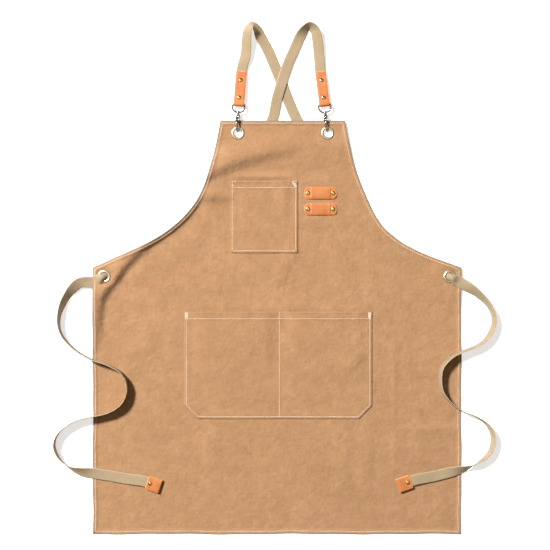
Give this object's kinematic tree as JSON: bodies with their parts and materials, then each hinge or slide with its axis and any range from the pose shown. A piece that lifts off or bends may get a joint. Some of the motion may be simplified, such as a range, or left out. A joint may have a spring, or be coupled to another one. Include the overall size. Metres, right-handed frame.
{
  "type": "canvas work apron",
  "caption": "Canvas bib apron with chest pocket, divided lap pocket, leather pen loops and cross-back webbing straps on snap hooks that pass through waist eyelets as ties.",
  "frame": {"origin": "on the back face of the body, on its centre line between the two pockets", "axes": "+X to the viewer's right, +Y towards the bib, +Z out of the front"},
  "size_m": [0.8124, 0.9393, 0.023],
  "materials": {
    "canvas": "heavy plain-weave cotton, washed",
    "webbing": "flat cotton webbing",
    "leather": "vegetable-tanned, satin",
    "nickel": "polished nickel plate",
    "brass": "polished"
  },
  "bodies": {
    "apron": {"apron_body": "canvas", "chest_pocket": "canvas", "lap_pocket": "canvas", "pen_loop_upper": "leather", "pen_loop_lower": "leather", "loop_rivet_upper_left": "brass", "loop_rivet_upper_right": "brass", "loop_rivet_lower_left": "brass", "loop_rivet_lower_right": "brass", "bib_grommet_left": "nickel", "bib_grommet_right": "nickel", "waist_grommet_left": "nickel", "waist_grommet_right": "nickel", "hook_eye_left": "nickel", "hook_eye_right": "nickel", "hook_body_left": "nickel", "hook_body_right": "nickel", "strap_tab_left": "leather", "strap_tab_right": "leather", "tab_rivet_left_lower": "brass", "tab_rivet_left_upper": "brass", "tab_rivet_right_lower": "brass", "tab_rivet_right_upper": "brass", "tie_tip_left": "leather", "tie_tip_right": "leather", "tip_rivet_left": "brass", "tip_rivet_right": "brass", "strap_left": "webbing", "strap_right": "webbing"},
    "gate_left": {"hook_gate_left": "nickel"},
    "gate_right": {"hook_gate_right": "nickel"}
  },
  "joints": [
    {"name": "gate_left_hinge", "type": "hinge", "parent": "apron", "child": "gate_left", "pos_m": [-0.07319, 0.28854, 0.0135], "axis": [0.9507, -0.0249, 0.309], "range_deg": [0, 22], "stiffness_Nm_per_rad": 0.005, "springref_deg": -5.73},
    {"name": "gate_right_hinge", "type": "hinge", "parent": "apron", "child": "gate_right", "pos_m": [0.08872, 0.28815, 0.0135], "axis": [0.9451, 0.106, 0.309], "range_deg": [0, 22], "stiffness_Nm_per_rad": 0.005, "springref_deg": -5.73}
  ]
}
